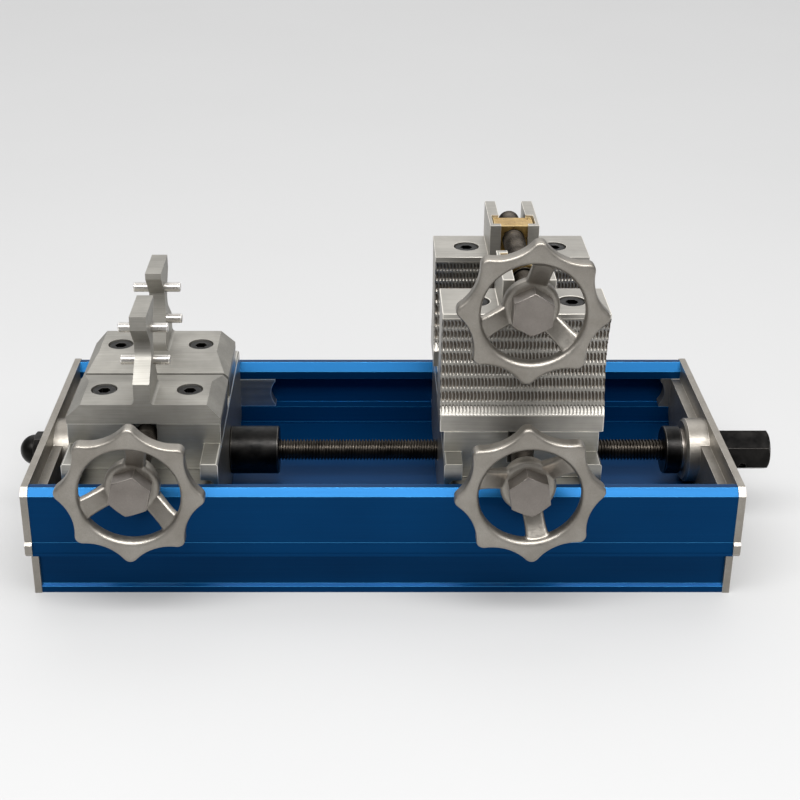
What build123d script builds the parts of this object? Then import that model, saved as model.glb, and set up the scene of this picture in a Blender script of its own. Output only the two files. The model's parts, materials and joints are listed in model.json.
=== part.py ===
from build123d import *
import math
import os

# Hose press: a channel base with a lead screw, one fixed and one travelling
# self-centring vise, fitting forks on the left and toothed hose jaws on the right.
# Millimetres. X runs along the lead screw, the handwheels face -Y, Z is up and
# z = 0 is the bench under the middle of the base.

os.makedirs("parts", exist_ok=True)

# ---- driving dimensions -------------------------------------------------------
BASE_LENGTH = 394.0          # over both end plates
PLATE_SKIN = 4.0             # outer thickness of an end plate
PLATE_PROUD = 0.7            # how far the plates stand outside the extrusion

RAIL_TOP = 72.0              # top of the extrusion's two rails
RAIL_OUT = 89.5              # outer face of a rail, from the middle
RAIL_IN = 78.4               # inner face of a rail
SLOT_DEPTH_Y = 86.5          # bottom of the side slots
SLOT_TOP = 62.0
SLOT_BOTTOM = 42.0
FLOOR_TOP = 31.0             # top of the web that joins the rails
FLOOR_UNDER = 26.5
FLOOR_EDGE = 72.0            # the floor meets each rail in a sloped corner
CORNER_TOP = 38.0
STEP_Z = 32.0                # where the outer face steps in to the legs
LEG_OUT = 76.5
FOOT_OUT = 78.0
LEG_IN = 70.0
FOOT_IN = 60.0

SCREW_DIA = 12.7             # every threaded rod is 1/2 inch
RUN = 0.05                   # radial clearance of a running fit

LEAD_Z = 51.0                # lead screw axis
CLAMP_Z = 83.3               # axis of each vise's cross screw
TOP_CLAMP_Z = 175.0          # axis of the upper clamp screw

LEFT_X = -133.0              # middle of the fixed vise
RIGHT_X = 76.5               # middle of the travelling vise
LEFT_OPEN = 0.0              # how far each slider stands from closed, at rest
RIGHT_OPEN = 10.0

BED_WIDTH = 86.0             # along X
BED_HALF_DEPTH = 78.0        # along Y
BED_TOP = 82.0
BED_RAIL = 10.0              # width of the rails on a bed
BED_FLOOR = 66.0             # floor of the bed's channel
UNDERCUT = 7.0               # how far the channel is cut under the bed's rails
UNDERCUT_TOP = 72.0

SLIDER_INNER = 8.0           # sliders and what they carry, from the middle when closed
SLIDER_OUTER = 53.0
SLIDER_TOP = 94.4

FORK_PLATE_TOP = 106.0
FORK_THICK = 9.2             # along X
FORK_BOLT_X = 24.25
FORK_BOLT_Y = 32.3
PIN_DIA = 5.5
PIN_LENGTH = 28.0

JAW_WIDTH = 90.0
JAW_INNER = 15.0
JAW_TOP = 164.3
JAW_PLINTH = 104.5
JAW_LIP = 161.3
JAW_SAG = 7.0                # depth of each hollow face
TOOTH_ROWS = 8
TOOTH_DEPTH = 1.1
JAW_BOLT_X = 26.0

YOKE_WIDTH = 28.3
YOKE_GAP = 15.7
YOKE_TOP = 185.0
YOKE_INNER = 10.7
YOKE_OUTER = 56.5
BLOCK_WIDTH = 23.8
BLOCK_DEPTH = 15.0
BLOCK_HEIGHT = 17.0
BLOCK_MID = 22.4             # middle of a block from the jaw's closed centre line

RIM_BLANK = 42.5             # radius before the lobes' points are rounded off, to 39.7
WHEEL_VALLEY = 33.6
WHEEL_BORE = 26.8            # inside of the rim
RIM_THICK = 9.0
HUB_SET_BACK = 10.7
HUB_LENGTH = 13.5
HUB_RADIUS = 15.0
LOBES = 8
CLAMP_WHEEL_Y = -118.0       # front of the rim
TOP_WHEEL_Y = -92.0

screw_r = SCREW_DIA / 2
half_base = BASE_LENGTH / 2
extrusion_end = half_base - PLATE_SKIN


def write(block, name):
    block.part.label = name
    export_step(block.part, f"parts/{name}.step")


def mirrored(points):
    """A closed outline from its half on the +Y or +X side, listed top to bottom."""
    return points + [(-x, z) for x, z in reversed(points) if x]


# ---- channel base --------------------------------------------------------------
base_half = [
    (0, FLOOR_TOP), (FLOOR_EDGE, FLOOR_TOP), (RAIL_IN, CORNER_TOP), (RAIL_IN, SLOT_BOTTOM),
    (SLOT_DEPTH_Y, SLOT_BOTTOM), (SLOT_DEPTH_Y, SLOT_TOP), (RAIL_IN, SLOT_TOP), (RAIL_IN, 66.8),
    (82, RAIL_TOP), (86, RAIL_TOP), (RAIL_OUT, 68.2), (RAIL_OUT, 39.5),
    (91, 38), (91, 33.5), (RAIL_OUT, STEP_Z), (LEG_OUT, STEP_Z), (LEG_OUT, 5.3),
    (FOOT_OUT, 3.8), (FOOT_OUT, 0), (FOOT_IN, 0), (FOOT_IN, 5), (LEG_IN, 5),
    (LEG_IN, FLOOR_UNDER), (0, FLOOR_UNDER),
]
end_bolts = [(84, 67), (84.5, 36.5)]      # flat-head screws, per side of a plate

with BuildPart() as channel_base:
    with BuildSketch(Plane.YZ):
        with BuildLine():
            Polyline(*mirrored(base_half), close=True)
        make_face()
    extrude(amount=extrusion_end, both=True)
    for y, z in end_bolts:
        for x_dir in (1, -1):
            for side in (1, -1):
                with BuildSketch(Plane((x_dir * (extrusion_end - 14), side * y, z), z_dir=(x_dir, 0, 0))):
                    Circle(2.6)
                extrude(amount=14, mode=Mode.SUBTRACT)
write(channel_base, "channel_base")

# ---- end plates ----------------------------------------------------------------
p = PLATE_PROUD
plate_half = [
    (0, RAIL_TOP + p), (86 + p / 2, RAIL_TOP + p), (RAIL_OUT + p, 68.5), (RAIL_OUT + p, 40),
    (91 + p, 38.6), (91 + p, 33), (RAIL_OUT + p, STEP_Z - p), (FOOT_OUT + p, STEP_Z - p),
    (FOOT_OUT + p, 0), (0, 0),
]
PLATE_BLOCK = 5.4            # inner step of the plate, inside the channel
PLATE_BLOCK_TOP = 61.7
block_half = [
    (0, PLATE_BLOCK_TOP), (RAIL_IN, PLATE_BLOCK_TOP), (RAIL_IN, CORNER_TOP), (FLOOR_EDGE, FLOOR_TOP),
    (0, FLOOR_TOP),
]
PLUG_LENGTH = 12.0
BOSS_RADIUS = 19.0
BOSS_LENGTH = 13.0
BUSH_RADIUS = 9.5


def end_plate(x_dir):
    """One cast end plate; x_dir is +1 for the drive end and -1 for the far end."""
    inside = Plane((x_dir * extrusion_end, 0, 0), x_dir=(0, 1, 0), z_dir=(x_dir, 0, 0))
    up = x_dir               # the plane's local y is +Z at one end and -Z at the other
    with BuildPart() as plate:
        with BuildSketch(inside):
            with BuildLine():
                Polyline(*[(y, up * z) for y, z in mirrored(plate_half)], close=True)
            make_face()
        extrude(amount=PLATE_SKIN)
        with BuildSketch(inside):
            with BuildLine():
                Polyline(*[(y, up * z) for y, z in mirrored(block_half)], close=True)
            make_face()
        extrude(amount=-PLATE_BLOCK)
        with BuildSketch(inside):
            for side in (1, -1):
                with Locations((side * (RAIL_IN + SLOT_DEPTH_Y) / 2, up * (SLOT_TOP + SLOT_BOTTOM) / 2)):
                    Rectangle(SLOT_DEPTH_Y - RAIL_IN, SLOT_TOP - SLOT_BOTTOM)
        extrude(amount=-PLUG_LENGTH)
        with BuildSketch(Plane.XZ.offset(-RAIL_OUT)):
            with Locations((x_dir * (extrusion_end - PLUG_LENGTH - 9), (SLOT_TOP + SLOT_BOTTOM) / 2)):
                Circle(12)
        extrude(amount=RAIL_OUT - RAIL_IN + 0.01, mode=Mode.SUBTRACT)
        with BuildSketch(Plane.XZ.offset(RAIL_IN - 0.01)):
            with Locations((x_dir * (extrusion_end - PLUG_LENGTH - 9), (SLOT_TOP + SLOT_BOTTOM) / 2)):
                Circle(12)
        extrude(amount=RAIL_OUT - RAIL_IN + 0.01, mode=Mode.SUBTRACT)
        with BuildSketch(inside):
            with Locations((0, up * LEAD_Z)):
                Circle(BOSS_RADIUS)
        extrude(amount=-BOSS_LENGTH)
        rim = plate.edges().filter_by(GeomType.CIRCLE).filter_by(
            lambda e: abs(e.radius - BOSS_RADIUS) < 0.01).sort_by(Axis.X)
        chamfer(rim[0] if x_dir > 0 else rim[-1], 1.5)
        with BuildSketch(inside.offset(PLATE_SKIN)):
            with Locations((0, up * LEAD_Z)):
                Circle(BUSH_RADIUS)
        extrude(amount=-PLATE_SKIN - BOSS_LENGTH, mode=Mode.SUBTRACT)
        for y, z in end_bolts:
            for side in (1, -1):
                face = Plane((x_dir * half_base, side * y, z), z_dir=(x_dir, 0, 0))
                with Locations(face):
                    CounterSinkHole(3.2, 4.6, depth=PLATE_SKIN + 0.1, counter_sink_angle=90)
    return plate


write(end_plate(-1), "left_end_plate")
write(end_plate(1), "right_end_plate")

END_BOLT_LENGTH = 15.0
with BuildPart() as end_plate_screws:
    for x_dir in (1, -1):
        for y, z in end_bolts:
            for side in (1, -1):
                tip = Plane((x_dir * (half_base - END_BOLT_LENGTH), side * y, z), z_dir=(x_dir, 0, 0))
                head = Plane((x_dir * (half_base - 1.9), side * y, z), z_dir=(x_dir, 0, 0))
                outside = Plane((x_dir * (half_base - 0.1), side * y, z), z_dir=(x_dir, 0, 0))
                with BuildSketch(tip):
                    Circle(2.55)
                extrude(amount=END_BOLT_LENGTH - 1.9)
                with BuildSketch(head):
                    Circle(2.55)
                with BuildSketch(outside):
                    Circle(4.3)
                loft()
                with BuildSketch(outside):
                    RegularPolygon(1.9, 6)
                extrude(amount=-1.5, mode=Mode.SUBTRACT)
write(end_plate_screws, "end_plate_screws")

for name, x_dir in (("left_screw_bushing", -1), ("right_screw_bushing", 1)):
    with BuildPart() as bushing:
        with BuildSketch(Plane((x_dir * (extrusion_end - BOSS_LENGTH), 0, LEAD_Z), z_dir=(x_dir, 0, 0))):
            Circle(BUSH_RADIUS)
            Circle(screw_r + RUN, mode=Mode.SUBTRACT)
        extrude(amount=PLATE_SKIN + BOSS_LENGTH)
    write(bushing, name)

# ---- lead screw and what turns with it -----------------------------------------
LEAD_LEFT = -208.0
LEAD_RIGHT = 224.0
HEX_AF = 22.2
HEX_END = 231.0
HEX_GAP = 0.3
COLLAR_RADIUS = 14.3
COLLAR_LENGTH = 10.0
WASHER_THICK = 1.5
ACORN_AF = 19.05
ACORN_HEX = 10.0

boss_face = extrusion_end - BOSS_LENGTH
with BuildPart() as lead_screw:
    with BuildSketch(Plane((LEAD_LEFT, 0, LEAD_Z), z_dir=(1, 0, 0))):
        Circle(screw_r)
    extrude(amount=LEAD_RIGHT - LEAD_LEFT)
    chamfer(lead_screw.edges().filter_by(GeomType.CIRCLE), 0.8)
write(lead_screw, "lead_screw")


def bevelled_hex(plane, across_flats, length, bevel, bore_r, bore_depth):
    """A hexagon standing on plane, its far corners turned off, bored from the plane."""
    corner = across_flats / math.sqrt(3)
    with BuildPart() as nut:
        with BuildSketch(plane):
            RegularPolygon(corner, 6)
        extrude(amount=length)
        section = Plane(plane.origin, x_dir=plane.x_dir, z_dir=-plane.y_dir)
        with BuildSketch(section):
            with BuildLine():
                Polyline((0, 0), (corner + 0.5, 0), (corner + 0.5, length - bevel),
                         (across_flats / 2 - 0.2, length), (0, length), close=True)
            make_face()
        revolve(axis=Axis(plane.origin, plane.z_dir), mode=Mode.INTERSECT)
        with BuildSketch(plane):
            Circle(bore_r)
        extrude(amount=bore_depth, mode=Mode.SUBTRACT)
    return nut


# a corner of the drive hexagon points straight up
set_screw_plane = Plane((215, 0, LEAD_Z), z_dir=(0, -math.cos(math.radians(30)), -0.5))
drive_plane = Plane((half_base + HEX_GAP, 0, LEAD_Z), x_dir=(0, 0, 1), z_dir=(1, 0, 0))
with BuildPart() as drive_hex:
    add(bevelled_hex(drive_plane, HEX_AF, HEX_END - half_base - HEX_GAP, 1.8, screw_r,
                     LEAD_RIGHT - half_base - HEX_GAP).part)
    with BuildSketch(set_screw_plane.offset(screw_r)):
        Circle(2.5)
    extrude(amount=HEX_AF, mode=Mode.SUBTRACT)
write(drive_hex, "drive_hex")

with BuildPart() as drive_hex_set_screw:
    with BuildSketch(set_screw_plane.offset(screw_r + 0.05)):
        Circle(2.45)
        RegularPolygon(1.3, 6, mode=Mode.SUBTRACT)
    extrude(amount=HEX_AF / 2 - screw_r - 0.8)
write(drive_hex_set_screw, "drive_hex_set_screw")

acorn_plane = Plane((-half_base - HEX_GAP, 0, LEAD_Z), x_dir=(0, 1, 0), z_dir=(-1, 0, 0))
acorn_corner = ACORN_AF / math.sqrt(3)
dome_r = ACORN_AF / 2 - 0.4
with BuildPart() as acorn_nut:
    with BuildSketch(acorn_plane):
        RegularPolygon(acorn_corner, 6)
    extrude(amount=ACORN_HEX + dome_r)
    with BuildSketch(Plane(acorn_plane.origin, x_dir=(0, 1, 0), z_dir=(0, 0, 1))):
        with BuildLine():
            Polyline((0, 0), (acorn_corner + 0.5, 0), (acorn_corner + 0.5, ACORN_HEX - 1.2),
                     (ACORN_AF / 2 - 0.2, ACORN_HEX), (dome_r, ACORN_HEX))
            CenterArc((0, ACORN_HEX), dome_r, 0, 90)
            Line((0, ACORN_HEX + dome_r), (0, 0))
        make_face()
    revolve(axis=Axis(acorn_plane.origin, (-1, 0, 0)), mode=Mode.INTERSECT)
    with BuildSketch(acorn_plane):
        Circle(screw_r)
    extrude(amount=abs(LEAD_LEFT) - half_base - HEX_GAP, mode=Mode.SUBTRACT)
write(acorn_nut, "acorn_nut")

collar_right = boss_face - WASHER_THICK - 0.1
with BuildPart() as thrust_collar:
    with BuildSketch(Plane((collar_right - COLLAR_LENGTH, 0, LEAD_Z), z_dir=(1, 0, 0))):
        Circle(COLLAR_RADIUS)
        Circle(screw_r, mode=Mode.SUBTRACT)
    extrude(amount=COLLAR_LENGTH)
    chamfer(thrust_collar.edges().filter_by(
        lambda e: e.geom_type == GeomType.CIRCLE and abs(e.radius - COLLAR_RADIUS) < 0.01), 0.7)
write(thrust_collar, "thrust_collar")

with BuildPart() as thrust_washer:
    with BuildSketch(Plane((boss_face - WASHER_THICK, 0, LEAD_Z), z_dir=(1, 0, 0))):
        Circle(COLLAR_RADIUS - 1.5)
        Circle(screw_r + RUN, mode=Mode.SUBTRACT)
    extrude(amount=WASHER_THICK)
write(thrust_washer, "thrust_washer")

SLEEVE_LENGTH = 29.0
with BuildPart() as stop_sleeve:
    with BuildSketch(Plane((LEFT_X + BED_WIDTH / 2, 0, LEAD_Z), z_dir=(1, 0, 0))):
        Circle(COLLAR_RADIUS)
        Circle(screw_r + 0.4, mode=Mode.SUBTRACT)
    extrude(amount=SLEEVE_LENGTH)
    chamfer(stop_sleeve.edges().filter_by(
        lambda e: e.geom_type == GeomType.CIRCLE and abs(e.radius - COLLAR_RADIUS) < 0.01), 0.7)
write(stop_sleeve, "stop_sleeve")

# ---- vise beds -----------------------------------------------------------------
BED_BOTTOM = FLOOR_TOP + 0.4
BED_CORNER = 7.0             # clears the sloped corners of the channel
LEAD_CLEAR = 0.6             # clearance round the lead screw where no thread holds it
LEAD_NUT_RADIUS = 11.0
LEAD_NUT_START = -20.0       # from the middle of the travelling bed
RETAINER_HALF = 3.5          # half the fork that holds the cross screw, along Y
RETAINER_WIDTH = 30.0
RETAINER_TOP = 92.0
NECK_RADIUS = 4.5

channel_half = BED_WIDTH / 2 - BED_RAIL


def vise_bed(x_mid, nut):
    """A bed with rails and an undercut channel along Y, bored for the lead screw."""
    with BuildPart() as bed:
        front = Plane.XZ.offset(BED_HALF_DEPTH)
        with BuildSketch(front):
            with Locations((x_mid, (BED_TOP + BED_BOTTOM) / 2)):
                Rectangle(BED_WIDTH, BED_TOP - BED_BOTTOM)
            with Locations((x_mid, (BED_TOP + BED_FLOOR) / 2)):
                Rectangle(2 * channel_half, BED_TOP - BED_FLOOR, mode=Mode.SUBTRACT)
            with Locations((x_mid, (UNDERCUT_TOP + BED_FLOOR) / 2)):
                SlotOverall(2 * (channel_half + UNDERCUT), UNDERCUT_TOP - BED_FLOOR, mode=Mode.SUBTRACT)
        extrude(amount=-2 * BED_HALF_DEPTH)
        top_edges = bed.edges().filter_by(Axis.Y).group_by(Axis.Z)[-1].sort_by(Axis.X)
        chamfer([top_edges[0], top_edges[-1]], 1)
        chamfer(bed.edges().filter_by(Axis.X).group_by(Axis.Z)[0], BED_CORNER)
        with BuildSketch(Plane((x_mid - BED_WIDTH / 2, 0, LEAD_Z), z_dir=(1, 0, 0))):
            Circle(screw_r + LEAD_CLEAR)
        extrude(amount=BED_WIDTH, mode=Mode.SUBTRACT)
        if nut:
            with BuildSketch(Plane((x_mid + LEAD_NUT_START, 0, LEAD_Z), z_dir=(1, 0, 0))):
                Circle(LEAD_NUT_RADIUS)
            extrude(amount=BED_WIDTH / 2 - LEAD_NUT_START, mode=Mode.SUBTRACT)
    return bed


write(vise_bed(LEFT_X, False), "left_vise_bed")
write(vise_bed(RIGHT_X, True), "right_vise_bed")

with BuildPart() as lead_nut:
    with BuildSketch(Plane((RIGHT_X + LEAD_NUT_START, 0, LEAD_Z), z_dir=(1, 0, 0))):
        Circle(LEAD_NUT_RADIUS)
        Circle(screw_r + RUN, mode=Mode.SUBTRACT)
    extrude(amount=BED_WIDTH / 2 - LEAD_NUT_START)
write(lead_nut, "lead_nut")

SHOE_GAP = 0.4
LEFT_SHOE_END = -67.5
shoe_out = SLOT_DEPTH_Y - SHOE_GAP
shoe_spans = {
    "left_guide_shoes": (LEFT_X - BED_WIDTH / 2, LEFT_SHOE_END),
    "right_guide_shoes": (RIGHT_X - BED_WIDTH / 2, RIGHT_X + BED_WIDTH / 2),
}
for name, (start, end) in shoe_spans.items():
    with BuildPart() as shoes:
        for side in (1, -1):
            with BuildSketch(Plane.YZ.offset(start)):
                with Locations((side * (BED_HALF_DEPTH + shoe_out) / 2, (SLOT_TOP + SLOT_BOTTOM) / 2)):
                    Rectangle(shoe_out - BED_HALF_DEPTH, SLOT_TOP - SLOT_BOTTOM - 2 * SHOE_GAP)
            extrude(amount=end - start)
        hollow_ends = [end + 9] if name.startswith("left") else [start - 9, end + 9]
        with BuildSketch(Plane.XZ.offset(RAIL_OUT)):
            with Locations(*[(x, (SLOT_TOP + SLOT_BOTTOM) / 2) for x in hollow_ends]):
                Circle(12)
        extrude(amount=-2 * RAIL_OUT, mode=Mode.SUBTRACT)
    write(shoes, name)


def retainer(x_mid):
    """The fork in the middle of a bed that holds the cross screw by its neck."""
    with BuildPart() as fork:
        with BuildSketch(Plane.XZ.offset(RETAINER_HALF)):
            with Locations((x_mid, (RETAINER_TOP + BED_FLOOR) / 2)):
                Rectangle(RETAINER_WIDTH, RETAINER_TOP - BED_FLOOR)
            with Locations((x_mid, CLAMP_Z)):
                Circle(NECK_RADIUS + RUN, mode=Mode.SUBTRACT)
            with Locations((x_mid, (RETAINER_TOP + CLAMP_Z) / 2)):
                Rectangle(2 * NECK_RADIUS + 2 * RUN, RETAINER_TOP - CLAMP_Z, mode=Mode.SUBTRACT)
        extrude(amount=-2 * RETAINER_HALF)
    return fork


write(retainer(LEFT_X), "left_screw_retainer")
write(retainer(RIGHT_X), "right_screw_retainer")

# ---- sliders -------------------------------------------------------------------
SLIDE_GAP = 0.3
SHOULDER_GAP = 0.1
BOLT_TAP_DEPTH = 12.0
NOTCH_WIDTH = 14.5
NOTCH_DEPTH = 10.0
NOTCH_BOTTOM = 75.5
BOLT_SHANK = 4.0
BOLT_HEAD = 7.0
HEAD_HEIGHT = 8.0
HEAD_CLEAR = 0.5             # counterbore round a cap screw's head
SOCKET_AF = 6.35
slider_half = [
    (0, SLIDER_TOP), (BED_WIDTH / 2 - 0.2, SLIDER_TOP), (BED_WIDTH / 2 - 0.2, BED_TOP + SHOULDER_GAP),
    (channel_half - SLIDE_GAP, BED_TOP + SHOULDER_GAP), (channel_half - SLIDE_GAP, UNDERCUT_TOP - 0.4),
    (channel_half + UNDERCUT - 3, UNDERCUT_TOP - 0.4), (channel_half + UNDERCUT - 3, BED_FLOOR + 0.3),
    (0, BED_FLOOR + 0.3),
]


def slider(x_mid, side, opening, bolts):
    """A slider on side +1 (rear) or -1 (front), with tapped holes at the bolts."""
    inner = side * (SLIDER_INNER + opening)
    length = SLIDER_OUTER - SLIDER_INNER
    with BuildPart() as block:
        with BuildSketch(Plane((x_mid, inner, 0), x_dir=(-side, 0, 0), z_dir=(0, side, 0))):
            with BuildLine():
                Polyline(*mirrored(slider_half), close=True)
            make_face()
        extrude(amount=length)
        with BuildSketch(Plane((x_mid, inner, CLAMP_Z), z_dir=(0, side, 0))):
            Circle(screw_r + RUN)
        extrude(amount=length, mode=Mode.SUBTRACT)
        outer = Plane((x_mid, side * (SLIDER_OUTER + opening), 0), x_dir=(-side, 0, 0), z_dir=(0, side, 0))
        with BuildSketch(outer):
            with Locations((0, (SLIDER_TOP + NOTCH_BOTTOM) / 2)):
                Rectangle(NOTCH_WIDTH, SLIDER_TOP - NOTCH_BOTTOM)
        extrude(amount=-NOTCH_DEPTH, mode=Mode.SUBTRACT)
        with BuildSketch(Plane.XY.offset(SLIDER_TOP)):
            with Locations(*bolts):
                Circle(BOLT_SHANK)
        extrude(amount=-BOLT_TAP_DEPTH, mode=Mode.SUBTRACT)
    return block



def cap_screws(bolts, seat_z, tip_z):
    """Socket head cap screws standing in their counterbores, heads on seat_z."""
    with BuildPart() as screws:
        with BuildSketch(Plane.XY.offset(seat_z)):
            with Locations(*bolts):
                Circle(BOLT_HEAD)
        extrude(amount=HEAD_HEIGHT)
        chamfer(screws.faces().filter_by(Axis.Z).group_by(Axis.Z)[-1].edges(), 0.6)
        with BuildSketch(Plane.XY.offset(seat_z)):
            with Locations(*bolts):
                Circle(BOLT_SHANK)
        extrude(amount=tip_z - seat_z)
        with BuildSketch(Plane.XY.offset(seat_z + HEAD_HEIGHT)):
            with Locations(*bolts):
                RegularPolygon(SOCKET_AF / math.sqrt(3), 6)
        extrude(amount=-4, mode=Mode.SUBTRACT)
    return screws


# ---- fitting forks (fixed vise) --------------------------------------------------
# Outline of one fork arm in Y and Z: a T plate's foot, a waist, and a head with a
# lip that reaches over the fitting.
FORK_HEAD_TOP = 157.0
fork_arm = [
    (53, SLIDER_TOP), (53, 118.3), (38.5, 130), (38.5, 137), (49.5, 149), (49.5, FORK_HEAD_TOP),
    (17, FORK_HEAD_TOP), (17, 153.5), (28.5, 140.5), (28.5, 126), (22, 112), (22, SLIDER_TOP),
]
fork_plate = [
    (53, SLIDER_TOP), (53, FORK_PLATE_TOP), (21.5, FORK_PLATE_TOP), (1, 100.8), (1, 97), (4, SLIDER_TOP),
]
FORK_SEAT_Z = FORK_PLATE_TOP - HEAD_HEIGHT - 0.6
PINS = [(31.0, 143.3), (30.5, 123.6)]


def fork(side):
    """A T-shaped fork: a bolted plate with one upright arm, cut as one casting."""
    with BuildPart() as piece:
        with BuildSketch(Plane.YZ.offset(LEFT_X)):
            with BuildLine():
                Polyline(*[(side * y, z) for y, z in fork_plate], close=True)
            make_face()
        extrude(amount=BED_WIDTH / 2, both=True)
        for end in (1, -1):
            top_corner = piece.edges().filter_by(
                lambda e: abs(e.center().X - LEFT_X - end * BED_WIDTH / 2) < 0.01
                and e.center().Z > FORK_PLATE_TOP - 3)
            chamfer(top_corner.sort_by(Axis.Z)[-1], length=8.4, length2=7.4)
        with BuildSketch(Plane.YZ.offset(LEFT_X)):
            with BuildLine():
                Polyline(*[(side * y, z) for y, z in fork_arm], close=True)
            make_face()
        extrude(amount=FORK_THICK / 2, both=True)
        root = piece.edges().filter_by(Axis.Y).filter_by(
            lambda e: abs(abs(e.center().X - LEFT_X) - FORK_THICK / 2) < 0.01
            and abs(e.center().Z - FORK_PLATE_TOP) < 0.01)
        fillet(root, 2.2)
        for x in (-FORK_BOLT_X, FORK_BOLT_X):
            with Locations(Plane((LEFT_X + x, side * FORK_BOLT_Y, FORK_PLATE_TOP))):
                CounterBoreHole(BOLT_SHANK, BOLT_HEAD + HEAD_CLEAR, HEAD_HEIGHT + 0.6, depth=20)
        with BuildSketch(Plane.YZ.offset(LEFT_X)):
            with Locations(*[(side * y, z) for y, z in PINS]):
                Circle(PIN_DIA / 2)
        extrude(amount=FORK_THICK, both=True, mode=Mode.SUBTRACT)
    return piece


# ---- toothed hose jaws (travelling vise) -----------------------------------------
JAW_SEAT_Z = JAW_TOP - HEAD_HEIGHT - 0.6


def hollow_face(lip_y, toward):
    """Points down a hollow toothed face, from its lip to the plinth. The hollow is an
    arc that goes toward the jaw's middle, cut into saw-tooth rows."""
    chord = JAW_LIP - JAW_PLINTH
    radius = (chord * chord / 4 + JAW_SAG * JAW_SAG) / (2 * JAW_SAG)
    half_angle = math.asin(chord / 2 / radius)
    mid_z = (JAW_LIP + JAW_PLINTH) / 2
    points = []
    for i in range(TOOTH_ROWS + 1):
        a = half_angle * (1 - 2 * i / TOOTH_ROWS)
        depth = radius * math.cos(a) - radius * math.cos(half_angle)
        y, z = lip_y + toward * depth, mid_z + radius * math.sin(a)
        if i > 0:
            points.append((y, z))
        if i < TOOTH_ROWS:
            points.append((y + toward * TOOTH_DEPTH, z - 0.6))
    return [(lip_y, JAW_LIP)] + points


def jaw_outline(side, opening):
    outer = SLIDER_OUTER + opening
    inner = JAW_INNER + opening
    down_outside = hollow_face(outer, -1)
    down_inside = hollow_face(inner, 1)
    outline = [(outer, JAW_TOP)] + down_outside + [(outer, SLIDER_TOP), (inner, SLIDER_TOP)]
    outline += list(reversed(down_inside)) + [(inner, JAW_TOP)]
    return [(side * y, z) for y, z in outline]


def grip_jaw(side, opening):
    """A jaw with hollow toothed faces front and back and the yoke of the upper clamp."""
    yoke_mid = side * ((YOKE_INNER + YOKE_OUTER) / 2 + opening)
    block_y = side * (BLOCK_MID + opening)
    bolt_y = side * ((JAW_INNER + SLIDER_OUTER) / 2 + opening)
    with BuildPart() as jaw:
        with BuildSketch(Plane.YZ.offset(RIGHT_X)):
            with BuildLine():
                Polyline(*jaw_outline(side, opening), close=True)
            make_face()
        extrude(amount=JAW_WIDTH / 2, both=True)
        with BuildSketch(Plane.XY.offset(JAW_LIP)):
            with Locations((RIGHT_X, yoke_mid)):
                Rectangle(YOKE_WIDTH, YOKE_OUTER - YOKE_INNER)
        extrude(amount=YOKE_TOP - JAW_LIP)
        with BuildSketch(Plane.XY.offset(YOKE_TOP)):
            with Locations((RIGHT_X, yoke_mid)):
                Rectangle(YOKE_GAP, YOKE_OUTER - YOKE_INNER)
        extrude(amount=JAW_TOP - YOKE_TOP, mode=Mode.SUBTRACT)
        with BuildSketch(Plane.XY.offset(YOKE_TOP)):
            with Locations((RIGHT_X, block_y)):
                Rectangle(BLOCK_WIDTH + 0.6, BLOCK_DEPTH + 0.4)
        extrude(amount=-19, mode=Mode.SUBTRACT)
        for x in (-JAW_BOLT_X, JAW_BOLT_X):
            with Locations(Plane((RIGHT_X + x, bolt_y, JAW_TOP))):
                CounterBoreHole(BOLT_SHANK, BOLT_HEAD + HEAD_CLEAR, HEAD_HEIGHT + 0.6, depth=80)
    return jaw


# ---- handwheels and cross screws --------------------------------------------------
SPOKE_WIDTH = 11.5
SPOKES = 3
NUT_AF = 20.6
RIM_BEVEL = 1.4
BORE_BEVEL = 2.0
LOBE_ROUND = 3.1
SCALLOP_RADIUS = 28.0        # of the cuts between lobes
# a spoke's outline: radius from the wheel's axis, distance behind the rim's front
spoke_outline = [(11, 12.5), (28, 2.2), (28, 7.2), (14, 18.5), (11, 18.5)]
hub_outline = [
    (0, 10.7), (13.6, 10.7), (HUB_RADIUS, 12), (HUB_RADIUS, 16.5), (12.5, 19), (12.5, 24.2), (0, 24.2),
]


# One cast handwheel, rim's front on the XY plane: eight lobes, and three spokes that
# slope back to a set-back hub.
with BuildPart() as wheel_form:
    with BuildSketch() as rim:
        Circle(RIM_BLANK)
        with PolarLocations(WHEEL_VALLEY + SCALLOP_RADIUS, LOBES):
            Circle(SCALLOP_RADIUS, mode=Mode.SUBTRACT)
        fillet(rim.vertices(), LOBE_ROUND)
    extrude(amount=RIM_THICK)
    chamfer(wheel_form.faces().filter_by(Axis.Z).edges(), RIM_BEVEL)
    with BuildSketch():
        Circle(WHEEL_BORE)
    extrude(amount=RIM_THICK, mode=Mode.SUBTRACT)
    chamfer(wheel_form.edges().filter_by(
        lambda e: e.geom_type == GeomType.CIRCLE and abs(e.radius - WHEEL_BORE) < 0.01), BORE_BEVEL)
    for i in range(SPOKES):
        out = Vector(1, 0, 0).rotate(Axis.Z, 90 + i * 360 / SPOKES)
        with BuildSketch(Plane((0, 0, 0), x_dir=out, z_dir=out.cross(Vector(0, 0, 1)))):
            with BuildLine():
                Polyline(*spoke_outline, close=True)
            make_face()
        extrude(amount=SPOKE_WIDTH / 2, both=True)
    with BuildSketch(Plane.XZ):
        with BuildLine():
            Polyline(*hub_outline, close=True)
        make_face()
    revolve(axis=Axis.Z)
    with BuildSketch():
        Circle(screw_r)
    extrude(amount=HUB_SET_BACK + HUB_LENGTH, mode=Mode.SUBTRACT)


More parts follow.
